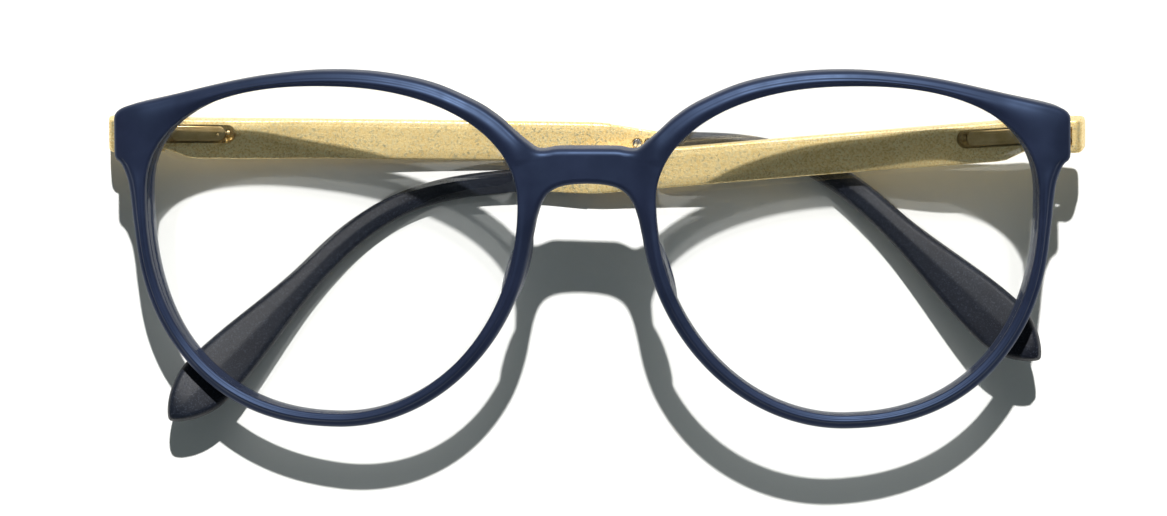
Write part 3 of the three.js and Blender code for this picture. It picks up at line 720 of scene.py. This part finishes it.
def bar_profile(half, low, high, corner, ridge):
    """A rounded section: its half height, its depth range, and a ridge on the inner side."""
    corner = min(corner, half * CORNER_LIMIT, (high - low) * CORNER_LIMIT)
    flat = half - corner
    arc = steps(0, math.pi / 2, 5)
    crest = high + ridge
    side_slope = ridge / half
    top_right = [
        (flat + corner * math.cos(a), high - corner + corner * math.sin(a) * (1 + side_slope))
        for a in arc
    ]
    low_right = [(flat + corner * math.cos(a), low + corner - corner * math.sin(a)) for a in arc]
    slope = [
        (half * share, lerp(crest, top_right[-1][1], half * share / flat)) for share in RIDGE_SHARES
    ]
    right_top = [*top_right, *slope]
    left_top = [(-up, inward) for up, inward in reversed(right_top)]
    left_low = [(-up, inward) for up, inward in low_right]
    bottom = [(half * share, low) for share in (-FLOOR_SHARE, 0, FLOOR_SHARE)]
    crown_point = (0, crest - CREST_FLAT * ridge)
    return [*right_top, crown_point, *left_top, *left_low, *bottom, *reversed(low_right)]


def temple_bar(name, spine, sections, place):
    """A closed bar along the temple through its sections."""
    rings = []
    for s, half, low, high, corner, ridge in sections:
        profile = bar_profile(half, low, high, corner, ridge)
        rings.append([spine.point(s, up, inward) for up, inward in profile])
    return build_object(name, *loft(rings), place)


def blade_half_height(s):
    grown = smooth(BUTT["end"], BUTT["end"] + BUTT_BLEND, s)
    blade = lerp(BUTT["half_height"], BLADE["half_height"], grown)
    return lerp(blade, NECK_HALF_HEIGHT, smooth(BLADE["narrows"], TONGUE["end"], s))


def blade_thickness(s):
    if s < BUTT["end"]:
        return 2 * BUTT["half_thickness"]
    thinned = smooth(POCKET["end"] + BLADE_THINS[0], POCKET["end"] + BLADE_THINS[1], s)
    return lerp(BLADE["pocket_thickness"], BLADE["thickness"], thinned)


def through_blade(spine, s, low, place):
    """Axes on the temple's middle, low above its outer face, with z through its thickness."""
    start = spine.point(s, 0, low)
    inward = spine.point(s, 0, low + 1) - start
    turn = Vector((0, 0, 1)).rotation_difference(inward).to_matrix().to_4x4()
    return place @ Matrix.Translation(start) @ turn


def thickness_rod(name, spine, s, radius, low, high, place, edge=0):
    """A round piece through the temple's thickness at one place."""
    return rod(name, radius, 0, high - low, "z", through_blade(spine, s, low, place), edge=edge)


def pocket_turn(side):
    return -TILTS[side] * POCKET_TURN_SHARE


def temple_blade(side):
    """Butt, blade and tongue in one, with the spring's pocket and the tip's screw holes."""
    spine = Spine(TILTS[side])
    place = temple_place(side)

    def section(s):
        return (s, blade_half_height(s), 0, blade_thickness(s), BLADE_CORNER, 0)

    def tongue(s, trim=0):
        low = BLADE["thickness"] - TONGUE["thickness"]
        return (s, blade_half_height(s) - trim, low, BLADE["thickness"], TONGUE["corner"], 0)

    end = -BUTT["reach"]
    full = 2 * BUTT["half_thickness"]
    stations = (*BUTT_STATIONS, BUTT["end"] - STEP_EDGE, BUTT["end"] + STEP_EDGE)
    sections = [
        *[(end + along, BUTT["half_height"] - trim, low, full - high, corner, 0)
          for along, trim, low, high, corner in BUTT_ROUNDING],
        *[section(s) for s in stations],
        *[section(s) for s in steps(BUTT["end"] + 0.6, TONGUE["start"] - STEP_EDGE, 46)],
        *[tongue(s) for s in steps(TONGUE["start"], TONGUE["end"] - TONGUE["straight"], 8)],
        *[tongue(TONGUE["end"] - back, trim) for back, trim in TONGUE_ROUNDING],
    ]
    blade = temple_bar(f"{side}_temple_blade_shape", spine, sections, place)
    above = 3 * BUTT["half_thickness"]
    half = POCKET["half_height"]
    pocket = obround(POCKET["start"], POCKET["end"], half)
    throat = rectangle(POCKET["start"], POCKET["throat_end"], -half, half)
    slot_half = PIN_RADIUS + FIT_GAP
    pin_slot = [(z, x) for x, z in obround(-SLIDE_TRAVEL - slot_half, slot_half, slot_half)]
    cutters = [
        prism("pocket", pocket, POCKET["floor"], above, "z", place, pocket_turn(side)),
        prism("throat", throat, POCKET["floor"] + HAIR, above, "z", place),
        prism("pin_slot", pin_slot, -CLEAR, CLEAR, "y", place),
    ]
    top = BLADE["thickness"]
    hole_radius = TIP_SCREW["radius"] + FIT_GAP
    seat_radius = TIP_SCREW["head_radius"] + FIT_GAP
    seat_floor = top - TIP_SCREW["head_height"]
    for s in TIP_SCREW["places"]:
        cutters.append(thickness_rod("hole", spine, s, hole_radius, -CLEAR, CLEAR, place))
        cutters.append(thickness_rod("seat", spine, s, seat_radius, seat_floor, CLEAR, place))
    combine(blade, cutters, "DIFFERENCE")
    shade(blade, sharp_angle=32)
    return blade


def tip_screw(side, number):
    spine = Spine(TILTS[side])
    place = temple_place(side)
    s = TIP_SCREW["places"][number - 1]
    top = BLADE["thickness"]
    proud = top + TIP_SCREW["proud"]
    head = thickness_rod(
        f"{side}_tip_screw_{number}_shape", spine, s, TIP_SCREW["head_radius"],
        top - TIP_SCREW["head_height"] + FIT_GAP, proud, place, edge=EDGES["pin"],
    )
    shank = thickness_rod("shank", spine, s, TIP_SCREW["radius"], top - TIP_SCREW["length"], top, place)
    combine(head, [shank], "UNION")
    half = TIP_SCREW["slot_width"] / 2
    slot_place = through_blade(spine, s, proud - TIP_SCREW["slot_depth"], place)
    slot_turn = TIP_SCREW["slot_turns"][number - 1]
    slot = prism("slot", rectangle(-CLEAR, CLEAR, -half, half), 0, CLEAR, "z", slot_place, slot_turn)
    return soften(combine(head, [slot], "DIFFERENCE"), EDGES["slot"])


def tip_half_height(s):
    waist = lerp(NECK_HALF_HEIGHT, WAIST_HALF_HEIGHT, smooth(*WAIST_BLEND, s))
    return lerp(waist, PADDLE_HALF_HEIGHT, smooth(*PADDLE_BLEND, s))


def temple_tip(side):
    """The tip, which laps the blade's tongue and bends down behind the ear."""
    spine = Spine(TILTS[side])
    place = temple_place(side)
    lap_top = BLADE["thickness"] - TONGUE["thickness"] - 2 * FIT_GAP

    def lap(s):
        return (s, blade_half_height(s) - TONGUE["inset"], 0, lap_top, BLADE_CORNER, 0)

    def full(s):
        high = lerp(BLADE["thickness"], TIP_THICKNESS, smooth(*THICKNESS_BLEND, s))
        corner = lerp(BLADE_CORNER, TIP_CORNER, smooth(*CORNER_BLEND, s))
        return (s, tip_half_height(s), 0, high, corner, TIP_RIDGE * smooth(*RIDGE_BLEND, s))

    point_start = TIP_END - TIP_POINT["length"]

    def point(turn):
        """A section of the leaf-shaped end, which narrows and thins towards its point."""
        share = math.sin(turn)
        s, half, low, high, corner, ridge = full(point_start + TIP_POINT["length"] * share)
        narrow = (1 - (TIP_POINT["reach"] * share) ** TIP_POINT["power"]) ** TIP_POINT["fullness"]
        thinned = math.sqrt(1 - (TIP_POINT["thin_reach"] * share) ** TIP_POINT["thin_power"])
        thin = lerp(TIP_POINT["thinnest"], 1, thinned)
        low += TIP_POINT["rise"] * (1 - thin)
        return (s, half * narrow, low, high * thin, corner * thin, ridge * narrow)

    sections = [
        *[lap(s) for s in steps(TONGUE["start"] + LAP["start"], TONGUE["end"] + LAP["end"], 8)],
        full(TONGUE["end"] + LAP["shoulder"]),
        *[full(s) for s in steps(TONGUE["end"] + 1, point_start - 0.5, 60)],
        *[point(turn) for turn in steps(0, math.pi / 2, 20)],
    ]
    tip = temple_bar(f"{side}_temple_tip_shape", spine, sections, place)
    hole_radius = TIP_SCREW["radius"] + FIT_GAP
    holes = [
        thickness_rod("hole", spine, s, hole_radius, -CLEAR, CLEAR, place) for s in TIP_SCREW["places"]
    ]
    combine(tip, holes, "DIFFERENCE")
    shade(tip, sharp_angle=42)
    return tip


# ---------------------------------------------------------------- spring hinge pieces

def hinge_slider(side):
    """Eye, bar, guide rod and rod head in one."""
    place = temple_place(side)
    turn = pocket_turn(side)
    half = SLIDER["half_height"]
    outline = rectangle(0, SLIDER["end"], -half, half)
    name = f"{side}_hinge_slider_shape"
    bar = prism(name, outline, SLIDER["bottom"], SLIDER["top"], "z", place, turn)
    centre = (0, ROD["z"])
    guide_start = SLIDER["end"] - 3 * OVERLAP
    head_end = ROD["end"] + ROD["head_length"]
    additions = [
        rod("eye", SLIDER["eye_radius"], -half, half, "y", place, turn),
        rod("guide", ROD["radius"], guide_start, ROD["end"] + OVERLAP, "x", place, turn, centre=centre),
        rod("rod_head", ROD["head_radius"], ROD["end"], head_end, "x", place, turn,
            edge=EDGES["screw"], centre=centre),
    ]
    combine(bar, additions, "UNION")
    bore = rod("bore", PIN_RADIUS + FIT_GAP / 2, -CLEAR, CLEAR, "y", place)
    return soften(combine(bar, [bore], "DIFFERENCE"), EDGES["steel"])


def spring_collar(side):
    """The block in the pocket that the guide rod runs through."""
    place = temple_place(side)
    turn = pocket_turn(side)
    name = f"{side}_spring_collar_shape"
    start, end = COLLAR["start"], COLLAR["end"]
    outline = rectangle(start, end, -SLIDER["half_height"], SLIDER["half_height"])
    block = prism(name, outline, SLIDER["bottom"], SLIDER["top"], "z", place, turn)
    hole = rod("hole", COLLAR["hole"], start - 1, end + 1, "x", place, turn, centre=(0, ROD["z"]))
    return soften(combine(block, [hole], "DIFFERENCE"), EDGES["steel"])


def hinge_spring(side):
    """The coil as a tube of small rings along a helix."""
    place = temple_place(side)
    rotation = Matrix.Rotation(pocket_turn(side), 4, "Z")
    rings = []
    for share in steps(0, 1, SPRING["turns"] * COIL_STEPS):
        turn = share * SPRING["turns"] * 2 * math.pi
        out = Vector((0, math.cos(turn), math.sin(turn)))
        centre = Vector((lerp(SPRING["start"], SPRING["end"], share), 0, ROD["z"]))
        centre += out * SPRING["radius"]
        rings.append([
            rotation @ (centre + out * a + Vector((b, 0, 0))) for a, b in circle(SPRING["wire"], 10)
        ])
    return build_object(f"{side}_hinge_spring_shape", *loft(rings), place, sharp_angle=60)


def spring_cap(side):
    """The round-ended cover in the pocket's mouth."""
    name = f"{side}_spring_cap_shape"
    outline = obround(CAP["start"], CAP["end"], SLIDER["half_height"])
    turn = pocket_turn(side)
    cap = prism(name, outline, CAP["bottom"], CAP["top"], "z", temple_place(side), turn)
    return soften(cap, EDGES["cap"], segments=4)


# ---------------------------------------------------------------- materials

class Shader:
    """A node material around one Principled shader, with patterns in object space."""

    def __init__(self, name, **constants):
        self.material = bpy.data.materials.new(name)
        self.material.use_nodes = True
        self.tree = self.material.node_tree
        self.principled = self.tree.nodes["Principled BSDF"]
        for socket, value in constants.items():
            self.principled.inputs[socket.replace("_", " ")].default_value = value
        self.place = self.tree.nodes.new("ShaderNodeTexCoord").outputs["Object"]

    def node(self, kind, links=(), **settings):
        made = self.tree.nodes.new(kind)
        for key, value in settings.items():
            if hasattr(made, key):
                setattr(made, key, value)
            else:
                made.inputs[key.replace("_", " ")].default_value = value
        for socket, source in dict(links).items():
            self.tree.links.new(source, made.inputs[socket])
        return made

    def noise(self, size, detail=3, rough=0.55, stretch=None):
        """Noise with features of about size millimetres."""
        place = self.place
        if stretch:
            place = self.node("ShaderNodeMapping", {"Vector": place}, Scale=stretch).outputs["Vector"]
        scale = 1 / (size * MM)
        values = {"Scale": scale, "Detail": detail, "Roughness": rough}
        return self.node("ShaderNodeTexNoise", {"Vector": place}, **values).outputs["Fac"]

    def cells(self, size):
        """A random grey for each grain of about size millimetres."""
        cells = self.node("ShaderNodeTexVoronoi", {"Vector": self.place}, Scale=1 / (size * MM))
        return self.node("ShaderNodeSeparateColor", {"Color": cells.outputs["Color"]}).outputs["Red"]

    def ramp(self, source, *stops):
        """Maps a grey to colours or greys at the given positions."""
        ramp = self.node("ShaderNodeValToRGB", {"Fac": source})
        elements = ramp.color_ramp.elements
        while len(elements) < len(stops):
            elements.new(0.5)
        for element, (position, value) in zip(elements, stops):
            element.position = position
            colour = value if isinstance(value, tuple) else (value, value, value)
            element.color = (*colour, 1)
        return ramp.outputs["Color"]

    def mix(self, a, b, share, blend="MIX"):
        mixed = self.node("ShaderNodeMix", data_type="RGBA", blend_type=blend)
        mixed.inputs["Factor"].default_value = share
        self.tree.links.new(a, mixed.inputs["A"])
        self.tree.links.new(b, mixed.inputs["B"])
        return mixed.outputs["Result"]

    def bump(self, *layers):
        """Stacks height patterns given as (source, depth in mm, strength)."""
        normal = None
        for source, depth, strength in layers:
            links = {"Height": source}
            if normal:
                links["Normal"] = normal
            made = self.node("ShaderNodeBump", links, Distance=depth * MM, Strength=strength)
            normal = made.outputs["Normal"]
        self.set("Normal", normal)

    def set(self, socket, source):
        self.tree.links.new(source, self.principled.inputs[socket])


def navy_acetate():
    gloss = (0.38, 0.57, 1.0, 1)
    shader = Shader("navy_acetate", IOR=1.5, Specular_IOR_Level=0.72, Specular_Tint=gloss)
    clouds = shader.noise(8, detail=4)
    grain = shader.noise(0.2, detail=2)
    haze = shader.noise(2.6, detail=5)
    base = shader.ramp(clouds, (0.3, (0.006, 0.008, 0.020)), (0.7, (0.011, 0.014, 0.034)))
    contrast = shader.ramp(grain, (0.35, 0.35), (0.7, 0.7))
    shader.set("Base Color", shader.mix(base, contrast, 0.16, "SOFT_LIGHT"))
    shader.set("Roughness", shader.ramp(haze, (0.3, 0.44), (0.75, 0.54)))
    shader.bump((haze, 0.03, 0.12), (grain, 0.01, 0.22))
    return shader.material


def clear_lens():
    shader = Shader("clear_lens", IOR=1.5, Transmission_Weight=1.0, Alpha=0.1)
    smudge = shader.noise(7, detail=4)
    tint = shader.ramp(smudge, (0.35, (0.93, 0.975, 0.95)), (0.7, (0.97, 1.0, 0.985)))
    shader.set("Base Color", tint)
    shader.set("Roughness", shader.ramp(smudge, (0.45, 0.015), (0.8, 0.06)))
    return shader.material


def gold_blade():
    shader = Shader("gold_blade", Metallic=0.95, IOR=1.5)
    grains = shader.cells(0.19)
    fine = shader.noise(0.12, detail=2, rough=0.7)
    patches = shader.noise(5, detail=4)
    base = shader.ramp(
        grains, (0.0, (0.56, 0.39, 0.13)), (0.5, (0.93, 0.72, 0.34)), (1.0, (1.0, 0.92, 0.6)),
    )
    tone = shader.ramp(patches, (0.3, (0.88, 0.67, 0.31)), (0.7, (0.98, 0.80, 0.42)))
    shader.set("Base Color", shader.mix(base, tone, 0.45))
    shader.set("Roughness", shader.ramp(grains, (0.0, 0.66), (0.8, 0.52), (1.0, 0.36)))
    shader.bump((grains, 0.02, 0.55), (fine, 0.02, 0.7))
    return shader.material


def gold_hardware():
    shader = Shader("gold_hardware", Metallic=1.0, IOR=1.5)
    brushed = shader.noise(0.5, detail=3, stretch=(0.08, 1, 1))
    patches = shader.noise(1.6, detail=3)
    shader.set("Base Color", shader.ramp(patches, (0.3, (0.62, 0.43, 0.18)), (0.7, (0.8, 0.6, 0.3))))
    shader.set("Roughness", shader.ramp(brushed, (0.3, 0.28), (0.7, 0.42)))
    shader.bump((brushed, 0.006, 0.3))
    return shader.material


def steel():
    shader = Shader("steel", Metallic=1.0, IOR=1.5)
    turned = shader.noise(0.16, detail=2, stretch=(1, 0.15, 1))
    patches = shader.noise(0.8, detail=3)
    shader.set("Base Color", shader.ramp(patches, (0.3, (0.5, 0.5, 0.52)), (0.7, (0.68, 0.69, 0.72))))
    shader.set("Roughness", shader.ramp(turned, (0.3, 0.2), (0.7, 0.36)))
    shader.bump((turned, 0.004, 0.25))
    return shader.material


def dark_tip():
    shader = Shader("dark_tip", IOR=1.5, Specular_IOR_Level=0.22)
    grain = shader.noise(0.16, detail=3, rough=0.7)
    specks = shader.cells(0.14)
    clouds = shader.noise(6, detail=4)
    base = shader.ramp(clouds, (0.3, (0.003, 0.004, 0.009)), (0.7, (0.006, 0.009, 0.017)))
    flecks = shader.ramp(specks, (0.75, 0.0), (1.0, (0.06, 0.07, 0.095)))
    shader.set("Base Color", shader.mix(base, flecks, 0.3, "ADD"))
    shader.set("Roughness", shader.ramp(grain, (0.3, 0.42), (0.7, 0.6)))
    shader.bump((grain, 0.02, 0.5))
    return shader.material


def pale_floor():
    shader = Shader("pale_floor", Roughness=0.75)
    paper = shader.noise(120, detail=3)
    tone = shader.ramp(paper, (0.3, (0.83, 0.835, 0.825)), (0.7, (0.85, 0.855, 0.845)))
    shader.set("Base Color", tone)
    return shader.material


finishes = {
    "navy_acetate": navy_acetate(),
    "clear_lens": clear_lens(),
    "gold_blade": gold_blade(),
    "gold_hardware": gold_hardware(),
    "steel": steel(),
    "dark_tip": dark_tip(),
}

# ---------------------------------------------------------------- assembly

behaviour = frame["record"]["behaviour"]
body_of_node = {node: body for body, nodes in behaviour["bodies"].items() for node in nodes}
slot_of_node = {part["node"]: part["material_slot"] for part in frame["record"]["subparts"]}


def stand_for(piece, node):
    """The piece replaces a CAD node, and takes its body, slot and finish."""
    slot = slot_of_node[node]
    piece.data.materials.clear()
    piece.data.materials.append(finishes[slot])
    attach(piece, body_of_node[node])
    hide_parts(node)


stand_for(front_frame(), "front_frame")
for side in SIDES:
    stand_for(lens(side), f"{side}_lens")
    stand_for(nose_pad(side), f"{side}_nose_pad")
    stand_for(hinge_bracket(side), f"{side}_hinge_bracket")
    stand_for(hinge_screw(side), f"{side}_hinge_screw")
    stand_for(temple_blade(side), f"{side}_temple_blade")
    stand_for(temple_tip(side), f"{side}_temple_tip")
    stand_for(hinge_slider(side), f"{side}_hinge_slider")
    stand_for(spring_collar(side), f"{side}_spring_collar")
    spring = hinge_spring(side)
    stand_for(spring, f"{side}_hinge_spring")
    tuple(temple_place(side) @ Vector((SPRING["end"], 0, ROD["z"])))
    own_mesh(spring)
    stand_for(spring_cap(side), f"{side}_spring_cap")
    for number in (1, 2):
        stand_for(bracket_pin(side, number), f"{side}_bracket_pin_{number}")
        stand_for(tip_screw(side, number), f"{side}_tip_screw_{number}")

# ---------------------------------------------------------------- stage, light and camera

CAMERA = {
    "distance": 1.0, "lens": 236.3, "lean": math.radians(1.5), "roll": math.radians(0.291),
    "near": 0.01, "far": 20,
}
CAMERA_AIM = front_origin - Vector((0.5, 7.1, 0)) * MM
SUN = {
    "elevation": math.radians(58), "turn": math.radians(4.5), "softness": math.radians(1.3),
    "strength": 4.9, "colour": (1.0, 0.985, 0.96),
}
SKY = {"strength": 0.125, "colour": (0.86, 1.0, 1.02, 1)}
FLOOR_REACH = 2.0
FLOOR_GAP = 0.05


def add_floor():
    mesh = bpy.data.meshes.new("floor")
    r = FLOOR_REACH
    z = cad_box[0].z - FLOOR_GAP * MM
    mesh.from_pydata([(-r, -r, z), (r, -r, z), (r, r, z), (-r, r, z)], [], [(0, 1, 2, 3)])
    floor = bpy.data.objects.new("floor", mesh)
    floor.data.materials.append(pale_floor())
    bpy.context.scene.collection.objects.link(floor)


def add_sun():
    data = bpy.data.lights.new("key", "SUN")
    data.energy = SUN["strength"]
    data.angle = SUN["softness"]
    data.color = SUN["colour"]
    high, flat = math.sin(SUN["elevation"]), math.cos(SUN["elevation"])
    towards = Vector((flat * math.sin(SUN["turn"]), flat * math.cos(SUN["turn"]), high))
    sun = bpy.data.objects.new("key", data)
    sun.rotation_euler = towards.to_track_quat("Z", "Y").to_euler()
    sun.location = front_origin + towards
    bpy.context.scene.collection.objects.link(sun)


def add_sky():
    world = bpy.data.worlds.new("studio")
    world.use_nodes = True
    background = world.node_tree.nodes["Background"]
    background.inputs["Color"].default_value = SKY["colour"]
    background.inputs["Strength"].default_value = SKY["strength"]
    bpy.context.scene.world = world


def add_camera():
    data = bpy.data.cameras.new("camera")
    data.lens = CAMERA["lens"]
    data.clip_start = CAMERA["near"]
    data.clip_end = CAMERA["far"]
    camera = bpy.data.objects.new("camera", data)
    back = Vector((math.sin(CAMERA["lean"]), 0, math.cos(CAMERA["lean"])))
    turn = Matrix.Rotation(CAMERA["lean"], 4, "Y") @ Matrix.Rotation(-CAMERA["roll"], 4, "Z")
    camera.matrix_world = Matrix.Translation(CAMERA_AIM + back * CAMERA["distance"]) @ turn
    bpy.context.scene.collection.objects.link(camera)
    bpy.context.scene.camera = camera


add_floor()
add_sun()
add_sky()
add_camera()
bpy.context.scene.view_settings.view_transform = "Standard"
